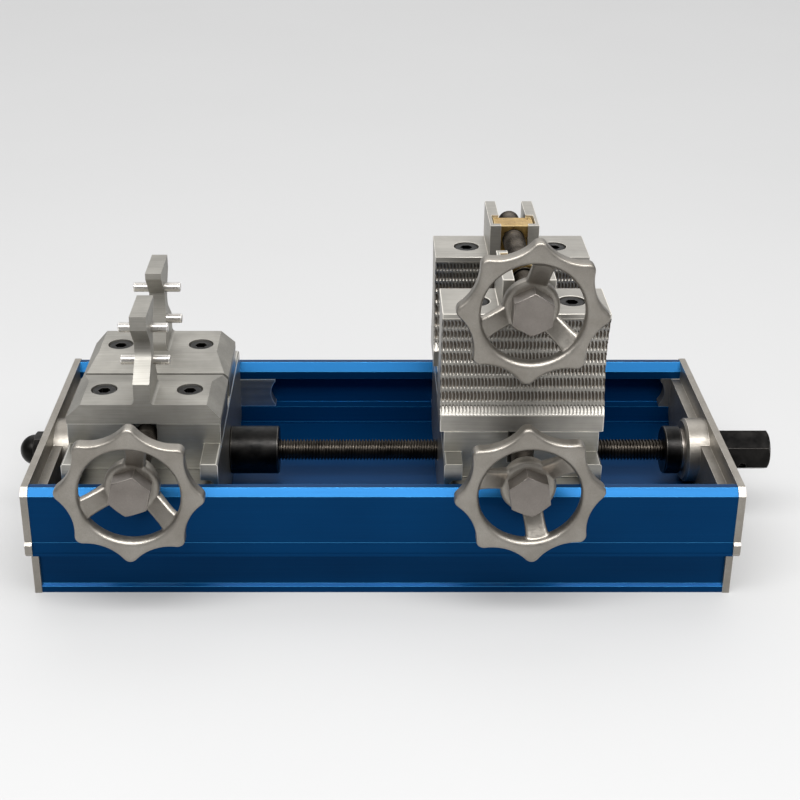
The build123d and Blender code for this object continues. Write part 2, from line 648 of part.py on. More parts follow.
def handwheel(x, y, z, turn):
    """The wheel with the middle of its rim's front at (x, y, z), turned about Y."""
    across = (-math.cos(math.radians(turn)), 0, math.sin(math.radians(turn)))
    with BuildPart() as wheel:
        with Locations(Plane((x, y, z), x_dir=across, z_dir=(0, 1, 0))):
            add(wheel_form.part)
    return wheel


def wheel_nut(x, y, z, turn):
    """The hexagon nut that holds a handwheel; its face is level with the rim."""
    across = (math.cos(math.radians(turn)), 0, math.sin(math.radians(turn)))
    back = Plane((x, y + HUB_SET_BACK, z), x_dir=across, z_dir=(0, -1, 0))
    return bevelled_hex(back, NUT_AF, HUB_SET_BACK, 1.0, screw_r, HUB_SET_BACK - 3)


def rod(x, y_front, y_back, z, neck=None):
    """A threaded rod along Y, with a neck turned down between the neck's two places."""
    with BuildPart() as bar:
        with BuildSketch(Plane((x, y_front, z), x_dir=(1, 0, 0), z_dir=(0, 1, 0))):
            Circle(screw_r)
        extrude(amount=y_back - y_front)
        chamfer(bar.edges().filter_by(GeomType.CIRCLE), 0.8)
        if neck:
            with BuildSketch(Plane((x, neck[0], z), x_dir=(1, 0, 0), z_dir=(0, 1, 0))):
                Circle(screw_r + 1)
                Circle(NECK_RADIUS, mode=Mode.SUBTRACT)
            extrude(amount=neck[1] - neck[0], mode=Mode.SUBTRACT)
    return bar


CLAMP_SCREW_BACK = 72.0
NECK_HALF = RETAINER_HALF + 0.15
wheel_places = {             # name: x, y of the rim's front, z, turn of wheel and nut
    "left_clamp": (LEFT_X, CLAMP_WHEEL_Y, CLAMP_Z, 250, 17.4),
    "right_clamp": (RIGHT_X, CLAMP_WHEEL_Y, CLAMP_Z, 288.5, 38),
    "upper_clamp": (RIGHT_X, TOP_WHEEL_Y, TOP_CLAMP_Z, 250.5, 27),
}
for name, (x, y, z, turn, nut_turn) in wheel_places.items():
    write(handwheel(x, y, z, turn), f"{name}_handwheel")
    write(wheel_nut(x, y, z, nut_turn), f"{name}_wheel_nut")
    start = y + 3.2
    if name == "upper_clamp":
        end = SLIDER_INNER + SLIDER_OUTER
        write(rod(x, start, end, z), f"{name}_screw")
    else:
        write(rod(x, start, CLAMP_SCREW_BACK, z, (-NECK_HALF, NECK_HALF)), f"{name}_screw")

# ---- sliders, forks and jaws, front and rear ----------------------------------------
for end, side in (("front", -1), ("rear", 1)):
    fork_bolts = [(LEFT_X + x, side * (FORK_BOLT_Y + LEFT_OPEN)) for x in (-FORK_BOLT_X, FORK_BOLT_X)]
    write(slider(LEFT_X, side, LEFT_OPEN, fork_bolts), f"left_{end}_slider")
    write(fork(side), f"{end}_fitting_fork")
    write(cap_screws(fork_bolts, FORK_SEAT_Z, SLIDER_TOP - 10), f"{end}_fork_screws")
    with BuildPart() as pins:
        with BuildSketch(Plane.YZ.offset(LEFT_X)):
            with Locations(*[(side * y, z) for y, z in PINS]):
                Circle(PIN_DIA / 2)
        extrude(amount=PIN_LENGTH / 2, both=True)
        chamfer(pins.edges().filter_by(GeomType.CIRCLE), 0.5)
    write(pins, f"{end}_fork_pins")

    jaw_mid = side * ((JAW_INNER + SLIDER_OUTER) / 2 + RIGHT_OPEN)
    jaw_bolts = [(RIGHT_X + x, jaw_mid) for x in (-JAW_BOLT_X, JAW_BOLT_X)]
    write(slider(RIGHT_X, side, RIGHT_OPEN, jaw_bolts), f"right_{end}_slider")
    write(grip_jaw(side, RIGHT_OPEN), f"{end}_hose_jaw")
    write(cap_screws(jaw_bolts, JAW_SEAT_Z, SLIDER_TOP - 10), f"{end}_jaw_screws")

# ---- upper clamp blocks --------------------------------------------------------------
BLOCK_BOTTOM = TOP_CLAMP_Z - 8.5
for name, side in (("upper_thrust_block", -1), ("upper_trunnion_nut", 1)):
    mid = side * (BLOCK_MID + RIGHT_OPEN)
    with BuildPart() as block:
        with BuildSketch(Plane.XY.offset(BLOCK_BOTTOM)):
            with Locations((RIGHT_X, mid)):
                Rectangle(BLOCK_WIDTH, BLOCK_DEPTH)
        extrude(amount=BLOCK_HEIGHT)
        chamfer(block.edges().filter_by(Axis.Y), 0.8)
        with BuildSketch(Plane((RIGHT_X, mid - BLOCK_DEPTH / 2, TOP_CLAMP_Z), z_dir=(0, 1, 0))):
            Circle(screw_r + RUN)
        extrude(amount=BLOCK_DEPTH, mode=Mode.SUBTRACT)
    write(block, name)

CLIP_THICK = 2.0
CLIP_RADIUS = 7.6
thrust_mid = -(BLOCK_MID + RIGHT_OPEN)
with BuildPart() as upper_screw_clips:
    for y in (thrust_mid - BLOCK_DEPTH / 2 - CLIP_THICK - 0.1, thrust_mid + BLOCK_DEPTH / 2 + 0.1):
        with BuildSketch(Plane((RIGHT_X, y, TOP_CLAMP_Z), z_dir=(0, 1, 0))):
            Circle(CLIP_RADIUS)
            Circle(screw_r, mode=Mode.SUBTRACT)
        extrude(amount=CLIP_THICK)
write(upper_screw_clips, "upper_screw_clips")
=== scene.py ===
import json
import math

import bmesh
import bpy
from mathutils import Matrix, Vector


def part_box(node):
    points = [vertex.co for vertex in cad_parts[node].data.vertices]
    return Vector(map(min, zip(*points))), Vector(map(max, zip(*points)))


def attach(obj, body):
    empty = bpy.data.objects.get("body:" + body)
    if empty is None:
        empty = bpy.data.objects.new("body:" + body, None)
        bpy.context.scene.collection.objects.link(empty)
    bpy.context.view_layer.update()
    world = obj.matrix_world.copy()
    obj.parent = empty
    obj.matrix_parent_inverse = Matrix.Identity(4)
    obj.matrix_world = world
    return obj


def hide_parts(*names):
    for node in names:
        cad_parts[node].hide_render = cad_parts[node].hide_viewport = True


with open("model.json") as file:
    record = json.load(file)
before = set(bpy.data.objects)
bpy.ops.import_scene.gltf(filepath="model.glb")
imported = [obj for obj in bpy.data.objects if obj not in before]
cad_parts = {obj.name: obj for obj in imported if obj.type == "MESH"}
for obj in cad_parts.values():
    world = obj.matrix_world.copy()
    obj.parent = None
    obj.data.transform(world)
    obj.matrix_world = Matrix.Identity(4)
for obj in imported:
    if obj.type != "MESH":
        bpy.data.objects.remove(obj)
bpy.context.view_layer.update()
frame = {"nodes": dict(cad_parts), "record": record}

# A hose crimping machine: a blue extruded base, a fixed vise with two forks on the left, a
# travelling vise with two toothed jaws on the right, and a clamp across the jaws' tops.
# Lengths in the tables below are in millimetres and turn into metres with MM.
MM = 0.001
JOIN = 2e-6                  # corners closer than this are one corner
FLAT = math.radians(0.6)     # faces that meet at less than this are one flat face
slot_of = {s["node"]: s["material_slot"] for s in frame["record"]["subparts"]}
body_of = {n: b for b, nodes in frame["record"]["behaviour"]["bodies"].items() for n in nodes}


# ---- camera ----------------------------------------------------------------------
LOOKS_DOWN = 25.37           # degrees
cam_data = bpy.data.cameras.new("camera")
cam = bpy.data.objects.new("camera", cam_data)
bpy.context.scene.collection.objects.link(cam)
bpy.context.scene.camera = cam
cam.location = (-0.00943, -0.8078, 0.467)
cam.rotation_euler = (math.radians(90 - LOOKS_DOWN), 0, 0)
cam_data.sensor_width = 36
cam_data.lens = 68.04
cam_data.shift_x = 0.0431
cam_data.clip_start = 0.01


# ---- node helpers ------------------------------------------------------------------
class Nodes:
    """A material's node tree with short calls for the nodes used here."""

    def __init__(self, name):
        self.mat = bpy.data.materials.new(name)
        self.mat.use_nodes = True
        self.tree = self.mat.node_tree
        self.shader = self.tree.nodes["Principled BSDF"]
        coords = self.tree.nodes.new("ShaderNodeTexCoord")
        self.object_coords = coords.outputs["Object"]
        self.bumps = []

    def link(self, a, b):
        self.tree.links.new(a, b)

    def stretched(self, scale):
        """Object coordinates scaled unevenly, for grain that runs one way."""
        mapping = self.tree.nodes.new("ShaderNodeMapping")
        mapping.inputs["Scale"].default_value = scale
        self.link(self.object_coords, mapping.inputs["Vector"])
        return mapping.outputs["Vector"]

    def noise(self, scale, detail=4.0, rough=0.55, vector=None):
        node = self.tree.nodes.new("ShaderNodeTexNoise")
        node.inputs["Scale"].default_value = scale
        node.inputs["Detail"].default_value = detail
        node.inputs["Roughness"].default_value = rough
        self.link(vector or self.object_coords, node.inputs["Vector"])
        return node.outputs["Fac"]

    def voronoi(self, scale):
        node = self.tree.nodes.new("ShaderNodeTexVoronoi")
        node.inputs["Scale"].default_value = scale
        self.link(self.object_coords, node.inputs["Vector"])
        return node.outputs["Distance"]

    def ramp(self, value, stops):
        node = self.tree.nodes.new("ShaderNodeValToRGB")
        ramp = node.color_ramp
        while len(ramp.elements) < len(stops):
            ramp.elements.new(0.5)
        for element, (place, colour) in zip(ramp.elements, stops):
            element.position = place
            element.color = (*colour, 1)
        self.link(value, node.inputs["Fac"])
        return node.outputs["Color"]

    def span(self, value, low, high, low_in=0.3, high_in=0.7):
        node = self.tree.nodes.new("ShaderNodeMapRange")
        node.inputs["From Min"].default_value = low_in
        node.inputs["From Max"].default_value = high_in
        node.inputs["To Min"].default_value = low
        node.inputs["To Max"].default_value = high
        self.link(value, node.inputs["Value"])
        return node.outputs["Result"]

    def mix(self, fac, a, b):
        node = self.tree.nodes.new("ShaderNodeMix")
        node.data_type = "RGBA"
        for socket, value in ((node.inputs[0], fac), (node.inputs[6], a), (node.inputs[7], b)):
            if isinstance(value, bpy.types.NodeSocket):
                self.link(value, socket)
            else:
                socket.default_value = (*value, 1)
        return node.outputs[2]

    def marked(self, name):
        """A value that the mesh itself carries: wear and a painted highlight on eased edges, cut depth
        in tooth slots.
        """
        node = self.tree.nodes.new("ShaderNodeAttribute")
        node.attribute_name = name
        return node.outputs["Fac"]

    def bump(self, height, strength, distance):
        node = self.tree.nodes.new("ShaderNodeBump")
        node.inputs["Strength"].default_value = strength
        node.inputs["Distance"].default_value = distance
        self.link(height, node.inputs["Height"])
        if self.bumps:
            self.link(self.bumps[-1].outputs["Normal"], node.inputs["Normal"])
        self.bumps.append(node)
        self.link(node.outputs["Normal"], self.shader.inputs["Normal"])

    def surface(self, colour, roughness=None, metallic=1.0):
        self.link(colour, self.shader.inputs["Base Color"])
        if roughness is not None:
            self.link(roughness, self.shader.inputs["Roughness"])
        self.shader.inputs["Metallic"].default_value = metallic
        return self.mat


MILLED = (30, 1100, 1100)    # noise scale of tool lines that run along X
DRAWN = (20, 1300, 1300)     # finer and longer lines of a drawn bar


def rubbed_and_lit_tone(light, lift):
    """The paler tone of eased edges: partly metal that handling has rubbed bright, partly a painted
    highlight.
    """
    return tuple(min(1, lift * c) for c in light)


def shade(colour, share):
    return tuple(share * c for c in colour)


def blue_anodised():
    n = Nodes("blue_anodised")
    drawn = n.noise(1, 5, 0.6, n.stretched((9, 1500, 1500)))
    cloud = n.noise(14, 2)
    base = n.ramp(cloud, [(0.3, (0.0004, 0.025, 0.086)), (0.7, (0.0006, 0.031, 0.104))])
    lined = n.mix(n.span(drawn, 0, 0.22), base, (0.0010, 0.050, 0.15))
    # rounded edges turn bright blue: a painted highlight
    wear_and_highlight = n.mix(n.marked("wear_and_highlight"), lined, (0.08, 0.45, 0.90))
    n.bump(drawn, 0.10, 0.00008)
    n.bump(n.noise(2600, 2), 0.06, 0.00004)
    n.shader.inputs["Specular IOR Level"].default_value = 0.04
    n.shader.inputs["Coat Weight"].default_value = 0.03
    n.shader.inputs["Coat Roughness"].default_value = 0.16
    return n.surface(wear_and_highlight, n.span(drawn, 0.30, 0.40), 0.62)


def cast(name, dark, light, rough=(0.34, 0.5), grain=0.5):
    """A blasted casting: cloudy tone, fine grain, a few pits, and lighter edges that are partly rubbed
    wear and partly a painted highlight.
    """
    n = Nodes(name)
    cloud = n.noise(55, 4)
    tone = n.ramp(cloud, [(0.3, dark), (0.72, light)])
    speck = n.noise(1900, 3, 0.6)
    tone = n.mix(n.span(speck, 0, 0.3, 0.35, 0.75), tone, shade(dark, 0.62))
    # eased edges are paler: partly rubbed wear, partly a painted highlight
    rubbed_and_lit = n.mix(n.marked("wear_and_highlight"), tone, rubbed_and_lit_tone(light, 1.5))
    n.bump(n.noise(1300, 4, 0.6), grain, 0.00016)
    n.bump(n.voronoi(420), 0.10, 0.0001)
    return n.surface(rubbed_and_lit, n.span(n.noise(600, 3), *rough), 0.96)


def machined(name, dark, light, run=MILLED, rough=(0.28, 0.42), toothed=False):
    """A milled or drawn face: fine tool lines that run one way over a cloudy tone."""
    n = Nodes(name)
    lines = n.noise(1, 4, 0.65, n.stretched(run))
    cloud = n.noise(38, 3)
    tone = n.ramp(cloud, [(0.32, dark), (0.7, light)])
    tone = n.mix(n.span(lines, 0, 0.30), tone, shade(dark, 0.66))
    # eased edges are paler: partly rubbed wear, partly a painted highlight
    rubbed_and_lit = n.mix(n.marked("wear_and_highlight"), tone, rubbed_and_lit_tone(light, 1.7))
    if toothed:
        # tooth slots are darker the deeper they are cut: painted shade
        painted_slot_shade = n.span(n.marked("cut"), 0, 0.9, 0.25, 0.95)
        rubbed_and_lit = n.mix(painted_slot_shade, rubbed_and_lit, (0.25, 0.215, 0.185))
    n.bump(lines, 0.16, 0.00010)
    n.bump(n.noise(1500, 3), 0.12, 0.00008)
    return n.surface(rubbed_and_lit, n.span(lines, *rough))


def black_oxide(name, dark=(0.006, 0.006, 0.006), light=(0.020, 0.019, 0.018)):
    n = Nodes(name)
    tone = n.ramp(n.noise(120, 4), [(0.3, dark), (0.7, light)])
    # eased edges are paler: partly rubbed wear, partly a painted highlight
    rubbed_and_lit = n.mix(n.marked("wear_and_highlight"), tone, (0.075, 0.07, 0.065))
    n.bump(n.noise(1700, 3), 0.16, 0.00008)
    return n.surface(rubbed_and_lit, n.span(n.noise(260, 3), 0.28, 0.46), 1.0)


def brass():
    n = Nodes("brass")
    lines = n.noise(1, 4, 0.6, n.stretched((900, 60, 900)))
    tone = n.ramp(n.noise(160, 4), [(0.28, (0.43, 0.27, 0.085)), (0.7, (0.66, 0.46, 0.18))])
    tone = n.mix(n.span(lines, 0, 0.3), tone, (0.30, 0.17, 0.05))
    # eased edges are paler: partly rubbed wear, partly a painted highlight
    rubbed_and_lit = n.mix(n.marked("wear_and_highlight"), tone, (0.86, 0.66, 0.32))
    n.bump(lines, 0.15, 0.00008)
    return n.surface(rubbed_and_lit, n.span(n.noise(300, 3), 0.24, 0.42), 1.0)


def pale_floor():
    n = Nodes("pale_floor")
    tone = n.ramp(n.noise(2.2, 3), [(0.3, (0.35, 0.35, 0.35)), (0.7, (0.36, 0.36, 0.36))])
    mat = n.surface(tone, None, 0.0)
    n.shader.inputs["Roughness"].default_value = 0.92
    n.shader.inputs["Emission Color"].default_value = (1, 1, 1, 1)
    n.shader.inputs["Emission Strength"].default_value = 0.17
    return mat


materials = {
    "blue_anodised": blue_anodised(),
    "cast_aluminium": cast("cast_aluminium", (0.255, 0.235, 0.206), (0.35, 0.328, 0.294)),
    "cast_steel": machined("cast_steel", (0.265, 0.258, 0.236), (0.38, 0.37, 0.34)),
    "jaw_steel": machined(
        "jaw_steel", (0.35, 0.335, 0.305), (0.48, 0.46, 0.42), rough=(0.38, 0.52), toothed=True),
    "black_oxide": black_oxide("black_oxide"),
    "rod_steel": black_oxide("rod_steel", (0.020, 0.017, 0.014), (0.075, 0.065, 0.054)),
    "nut_steel": cast(
        "nut_steel", (0.185, 0.166, 0.15), (0.265, 0.242, 0.22), rough=(0.3, 0.44), grain=0.3),
    "brass": brass(),
    "shoe_aluminium": machined("shoe_aluminium", (0.42, 0.42, 0.41), (0.58, 0.58, 0.57), DRAWN),
}
fork_steel = machined("fork_steel", (0.29, 0.28, 0.255), (0.41, 0.395, 0.36), rough=(0.5, 0.62))
pin_steel = cast("pin_steel", (0.42, 0.40, 0.37), (0.58, 0.56, 0.53), rough=(0.25, 0.4), grain=0.15)


# ---- mesh helpers --------------------------------------------------------------------
EASED_ANGLE = math.radians(34)
NEAR = 1e-4                  # how near a corner is to the height or depth it is looked up by
LEVEL = 1e-5                 # an edge whose ends differ by less than this runs level
WAIST_Z = (130, 137)         # a fork's two waist corners
WAIST_ROUND = 3.4
# the base's inner corner: its slope's top, the floor, and where the slope meets the floor
CORNER_TOP, FLOOR_TOP, FLOOR_EDGE = 38, 31, 72
CORNER_RISE, FLOOR_REACH = 0.6, 78
SLOPE_HIGHLIGHT = 0.08            # how far the base's sloped edges go toward the paler edge tone: a painted highlight


def piece(name, bm, node, material=None, sharp=32):
    """Makes an object from a bmesh that stands for a CAD node, on its body and slot.
    Edges that turn by more than sharp degrees stay crisp."""
    for face in bm.faces:
        face.smooth = True
    for edge in bm.edges:
        if len(edge.link_faces) == 2 and edge.calc_face_angle(0) > math.radians(sharp):
            edge.smooth = False
    mesh = bpy.data.meshes.new(name)
    bm.to_mesh(mesh)
    bm.free()
    obj = bpy.data.objects.new(name, mesh)
    bpy.context.scene.collection.objects.link(obj)
    mesh.materials.append(material or materials[slot_of[node]])
    weighted = obj.modifiers.new("flat faces stay flat", "WEIGHTED_NORMAL")
    weighted.keep_sharp = True
    weighted.weight = 100
    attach(obj, body_of[node])
    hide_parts(node)
    return obj


def joined_copy(node):
    """The CAD node's mesh with its split corners joined."""
    bm = bmesh.new()
    bm.from_mesh(frame["nodes"][node].data)
    bmesh.ops.remove_doubles(bm, verts=bm.verts, dist=JOIN)
    return bm


def make_flats_whole(bm):
    bmesh.ops.dissolve_limit(bm, angle_limit=FLAT, verts=bm.verts, edges=bm.edges)


def ease(bm, width, wanted=lambda edge: True):
    """Rounds every wanted edge that turns by more than EASED_ANGLE, as a real machined or
    cast edge is, and marks the rounds for a paler tone: partly wear, partly a painted highlight."""
    edges = [
        e for e in bm.edges
        if len(e.link_faces) == 2 and e.calc_face_angle(0) > EASED_ANGLE and wanted(e)
    ]
    wear_and_highlight = bm.faces.layers.float.get("wear_and_highlight") or bm.faces.layers.float.new("wear_and_highlight")
    rounded = bmesh.ops.bevel(
        bm, geom=edges, offset=width * MM, segments=2, profile=0.6,
        affect="EDGES", clamp_overlap=True,
    )
    for face in rounded["faces"]:
        face[wear_and_highlight] = 1.0


def round_waist(bm):
    """Runs a fork arm's two waist corners together in one hollow curve."""
    corners = [
        e for e in bm.edges
        if abs(e.verts[0].co.z - e.verts[1].co.z) < LEVEL
        and abs(e.verts[0].co.y - e.verts[1].co.y) < LEVEL
        and any(abs(e.verts[0].co.z - z * MM) < NEAR for z in WAIST_Z)
    ]
    bmesh.ops.bevel(
        bm, geom=corners, offset=WAIST_ROUND * MM, segments=7, profile=0.5, affect="EDGES")


def tighten_corner(bm):
    """Brings the sloped corner between channel floor and rail in to a small one."""
    for v in bm.verts:
        if abs(v.co.z - CORNER_TOP * MM) < NEAR:
            v.co.z = (FLOOR_TOP + CORNER_RISE) * MM
        elif abs(v.co.z - FLOOR_TOP * MM) < NEAR and abs(abs(v.co.y) - FLOOR_EDGE * MM) < NEAR:
            v.co.y = math.copysign(FLOOR_REACH * MM, v.co.y)


def paint_slope_highlight(bm):
    """Paints a highlight on the base's sloped outer edges, making them a little paler than its flat
    faces.
    """
    bm.normal_update()
    wear_and_highlight = bm.faces.layers.float["wear_and_highlight"]
    for face in bm.faces:
        sloped = face.normal.z > 0.4 and abs(face.normal.y) > 0.5
        if sloped and face.calc_center_median().z > CORNER_TOP * MM:
            face[wear_and_highlight] = max(face[wear_and_highlight], SLOPE_HIGHLIGHT)


def eased(node, width, material=None):
    """A machined or cast piece: the CAD node with its edges rounded."""
    bm = joined_copy(node)
    make_flats_whole(bm)
    if node == "channel_base":
        tighten_corner(bm)
    if node.endswith("fitting_fork"):
        round_waist(bm)
    ease(bm, width)
    if node == "channel_base":
        paint_slope_highlight(bm)
    piece(f"{node}_shape", bm, node, material)


# ---- machined and cast pieces with real edges -------------------------------------------
# how far each piece's edges are rounded
for node, width in (
    ("channel_base", 0.5), ("left_end_plate", 0.7), ("right_end_plate", 0.7),
    ("left_vise_bed", 0.5), ("right_vise_bed", 0.5),
    ("left_guide_shoes", 0.5), ("right_guide_shoes", 0.5),
    ("left_screw_retainer", 0.4), ("right_screw_retainer", 0.4),
    ("left_front_slider", 0.45), ("left_rear_slider", 0.45),
    ("right_front_slider", 0.45), ("right_rear_slider", 0.45),
    ("end_plate_screws", 0.2), ("front_fork_screws", 0.25), ("rear_fork_screws", 0.25),
    ("front_jaw_screws", 0.25), ("rear_jaw_screws", 0.25),
    ("thrust_collar", 0.3), ("stop_sleeve", 0.3), ("thrust_washer", 0.2),
    ("drive_hex", 0.4), ("drive_hex_set_screw", 0.15), ("acorn_nut", 0.35),
    ("lead_nut", 0.3), ("left_screw_bushing", 0.3), ("right_screw_bushing", 0.3),
    ("upper_thrust_block", 0.35), ("upper_trunnion_nut", 0.35), ("upper_screw_clips", 0.2),
    ("left_clamp_wheel_nut", 0.45), ("right_clamp_wheel_nut", 0.45),
    ("upper_clamp_wheel_nut", 0.45),
):
    eased(node, width)
for end in ("front", "rear"):
    eased(f"{end}_fitting_fork", 0.6, fork_steel)
    eased(f"{end}_fork_pins", 0.3, pin_steel)


# ---- threads ---------------------------------------------------------------------------
PITCH = 25.4 / 13 * MM
MAJOR = 6.32 * MM            # radius over the crests
MINOR = 5.25 * MM            # radius at the roots
RUN_OUT = 0.8 * PITCH        # length over which a thread fades at its ends
AROUND = 28                  # mesh steps round a thread or a neck
THREAD_SHARP = 20            # degrees; crests and roots stay crisp
THREAD_JOIN = 1e-6           # corners of a faded thread closer than this are one
# height of the thread along one pitch: root from 0 to 0.16, crest from 0.46 to 0.66
THREAD_FORM = ((0.0, 0.0), (0.16, 0.0), (0.46, 1.0), (0.66, 1.0))


def thread(bm, to_place, start, end, hand, end_radii):
    """A helical thread along a line, from start to end, that runs out at both ends.
    to_place turns (along, across, up) into a point; hand is 1 for a right-hand thread."""
    rows = int(math.ceil((end - start) / PITCH)) + 3
    grid = []
    for row in range(-2, rows):
        for offset, height in THREAD_FORM:
            ring = []
            for i in range(AROUND + 1):
                turn = i / AROUND
                along = start + (row + offset + turn) * PITCH
                low_end, high_end = along <= start, along >= end
                along = min(max(along, start), end)
                fade = min(1, (along - start) / RUN_OUT, (end - along) / RUN_OUT)
                radius = MINOR + height * max(fade, 0) * (MAJOR - MINOR)
                if low_end:
                    radius = end_radii[0]
                if high_end:
                    radius = end_radii[1]
                angle = hand * turn * 2 * math.pi
                across, up = radius * math.cos(angle), radius * math.sin(angle)
                ring.append(bm.verts.new(to_place(along, across, up)))
            grid.append(ring)
    for a, b in zip(grid, grid[1:]):
        for i in range(AROUND):
            corners = (a[i], a[i + 1], b[i + 1], b[i])
            bm.faces.new(corners if hand > 0 else corners[::-1])


def finish_thread(bm):
    """Closes a thread's ends and leaves one clean skin."""
    bmesh.ops.remove_doubles(bm, verts=bm.verts, dist=THREAD_JOIN)
    bmesh.ops.dissolve_degenerate(bm, dist=THREAD_JOIN, edges=bm.edges)
    bmesh.ops.holes_fill(bm, edges=[e for e in bm.edges if e.is_boundary], sides=0)
    bmesh.ops.recalc_face_normals(bm, faces=bm.faces)


def neck(bm, to_place, start, end, radius):
    """A plain turned neck between two threads."""
    rings = []
    for along in (start, end):
        rings.append([
            bm.verts.new(to_place(along, radius * math.cos(a), radius * math.sin(a)))
            for a in (2 * math.pi * i / AROUND for i in range(AROUND))
        ])
    for i in range(AROUND):
        j = (i + 1) % AROUND
        bm.faces.new((rings[0][i], rings[0][j], rings[1][j], rings[1][i]))


low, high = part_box("lead_screw")
lead_z = (low.z + high.z) / 2
bm = bmesh.new()
thread(bm, lambda s, a, b: (s, a, lead_z + b), low.x, high.x, 1, (MINOR, MINOR))
finish_thread(bm)
piece("lead_screw_thread", bm, "lead_screw", sharp=THREAD_SHARP)

# the clamp screws run along Y; the lower two turn in their retainers by a plain neck
# between a right-hand and a left-hand half
NECK_RADIUS = 4.5 * MM
NECK_HALF = 3.65 * MM


def axis_of(low, high):
    """X and Z of the middle line of a box whose piece runs along Y."""
    return (low.x + high.x) / 2, (low.z + high.z) / 2


for node in ("left_clamp_screw", "right_clamp_screw", "upper_clamp_screw"):
    low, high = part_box(node)
    x, z = axis_of(low, high)

    def place(s, a, b, x=x, z=z):
        return (x + a, s, z + b)

    bm = bmesh.new()
    if node == "upper_clamp_screw":
        thread(bm, place, low.y, high.y, 1, (MINOR, MINOR))
    else:
        thread(bm, place, low.y, -NECK_HALF, 1, (MINOR, NECK_RADIUS))
        neck(bm, place, -NECK_HALF, NECK_HALF, NECK_RADIUS)
        thread(bm, place, NECK_HALF, high.y, -1, (NECK_RADIUS, MINOR))
    finish_thread(bm)
    piece(f"{node}_thread", bm, node, sharp=THREAD_SHARP)


# ---- cast handwheels ------------------------------------------------------------------------
# One wheel, its axis along local Z with the rim's front at z = 0 and the hub behind it
# (+z). It is remeshed as one casting, so spokes, rim and hub flow into one another.
TIP, BORE = 39.7, 26.8       # radius over the lobes' tips, and inside the rim
LOBES = 8
LOBE_ROUND = 4.0             # radius of a tip
SCALLOP_RADIUS = 26.0        # radius of a hollow between two tips
RIM_THICK = 9.0
RIM_STEPS = 240              # mesh steps round the rim
SPOKES = 3
SPOKE_CUT = 1                # taken off a spoke's four long corners
HUB_STEPS = 64
CASTING_VOXEL = 0.55
# the round tips and the hollows between them touch: where each is centred, and how far
# round from a tip's middle they meet
LOBE_CENTRE = TIP - LOBE_ROUND
HALF_PITCH = math.pi / LOBES
SCALLOP_CENTRE = LOBE_CENTRE * math.cos(HALF_PITCH) + math.sqrt(
    (SCALLOP_RADIUS + LOBE_ROUND) ** 2 - (LOBE_CENTRE * math.sin(HALF_PITCH)) ** 2)
scallop_centre = SCALLOP_CENTRE * Vector((math.cos(HALF_PITCH), math.sin(HALF_PITCH)))
lobe_centre = Vector((LOBE_CENTRE, 0))
meeting = lobe_centre + (scallop_centre - lobe_centre).normalized() * LOBE_ROUND
LOBE_HALF = math.atan2(meeting.y, meeting.x)


def rim_radius(angle):
    """The rim's outer radius; a hollow is at angle 0."""
    from_tip = abs(angle % (2 * HALF_PITCH) - HALF_PITCH)
    if from_tip < LOBE_HALF:
        side = LOBE_CENTRE * math.sin(from_tip)
        return LOBE_CENTRE * math.cos(from_tip) + math.sqrt(LOBE_ROUND ** 2 - side ** 2)
    from_hollow = HALF_PITCH - from_tip
    side = SCALLOP_CENTRE * math.sin(from_hollow)
    return SCALLOP_CENTRE * math.cos(from_hollow) - math.sqrt(SCALLOP_RADIUS ** 2 - side ** 2)


def ring_solid(bm, section, count):
    """A closed ring swept round Z; section(angle) gives its (radius, z) outline."""
    rings = []
    for i in range(count):
        angle = 2 * math.pi * i / count
        rings.append([
            bm.verts.new((r * math.cos(angle) * MM, r * math.sin(angle) * MM, z * MM))
            for r, z in section(angle)
        ])
    for i in range(count):
        a, b = rings[i], rings[(i + 1) % count]
        for j in range(len(a)):
            k = (j + 1) % len(a)
            bm.faces.new((a[j], b[j], b[k], a[k]))


def rim_section(angle):
    """Across the rim: a crowned front, well rounded edges and a plain back."""
    outer, inner = rim_radius(angle), BORE
    return [
        (inner + 0.25, 5.5), (inner, 3.4), (inner + 0.35, 1.9), (inner + 1.1, 0.75), (inner + 2.3, 0.1),
        (inner + 3.2, 0.0), (outer - 1.9, 0.0), (outer - 0.95, 0.25), (outer - 0.25, 0.95), (outer, 1.9),
        (outer, 7.1), (outer - 0.25, 8.05), (outer - 0.95, 8.75), (outer - 1.9, RIM_THICK),
        (inner + 2.4, RIM_THICK), (inner + 1.2, 8.4), (inner + 0.5, 7.4),
    ]


def loft(bm, sections):
    """A closed solid through sections with the same number of points."""
    rings = [[bm.verts.new(tuple(c * MM for c in point)) for point in section] for section in sections]
    for a, b in zip(rings, rings[1:]):
        for j in range(len(a)):
            k = (j + 1) % len(a)
            bm.faces.new((a[j], a[k], b[k], b[j]))
    bm.faces.new(rings[0][::-1])
    bm.faces.new(rings[-1])


def spoke_sections():
    """A spoke's outline at radii from the hub to the rim, with its corners cut."""
    # radius, half width, front and back
    for r, half, front, back in (
        (8.0, 5.6, 11.8, 19.0), (13.0, 5.5, 10.9, 18.6), (18.0, 5.5, 8.2, 14.6),
        (22.5, 5.6, 5.6, 11.2), (26.0, 6.1, 3.4, 8.6), (29.5, 6.8, 2.2, 7.6),
    ):
        flat = half - SPOKE_CUT
        yield [
            (r, -half, back - SPOKE_CUT), (r, -half, front + SPOKE_CUT),
            (r, -flat, front), (r, flat, front),
            (r, half, front + SPOKE_CUT), (r, half, back - SPOKE_CUT),
            (r, flat, back), (r, -flat, back),
        ]


# the hub's and the boss's half outline, from front to back: radius and z
HUB = [
    (0, 10.7), (12.9, 10.7), (14.4, 11.3), (15.0, 12.4), (15.0, 16.4), (14.2, 17.8),
    (12.9, 19.4), (12.5, 20.6), (12.5, 23.4), (11.8, 24.2), (0, 24.2),
]


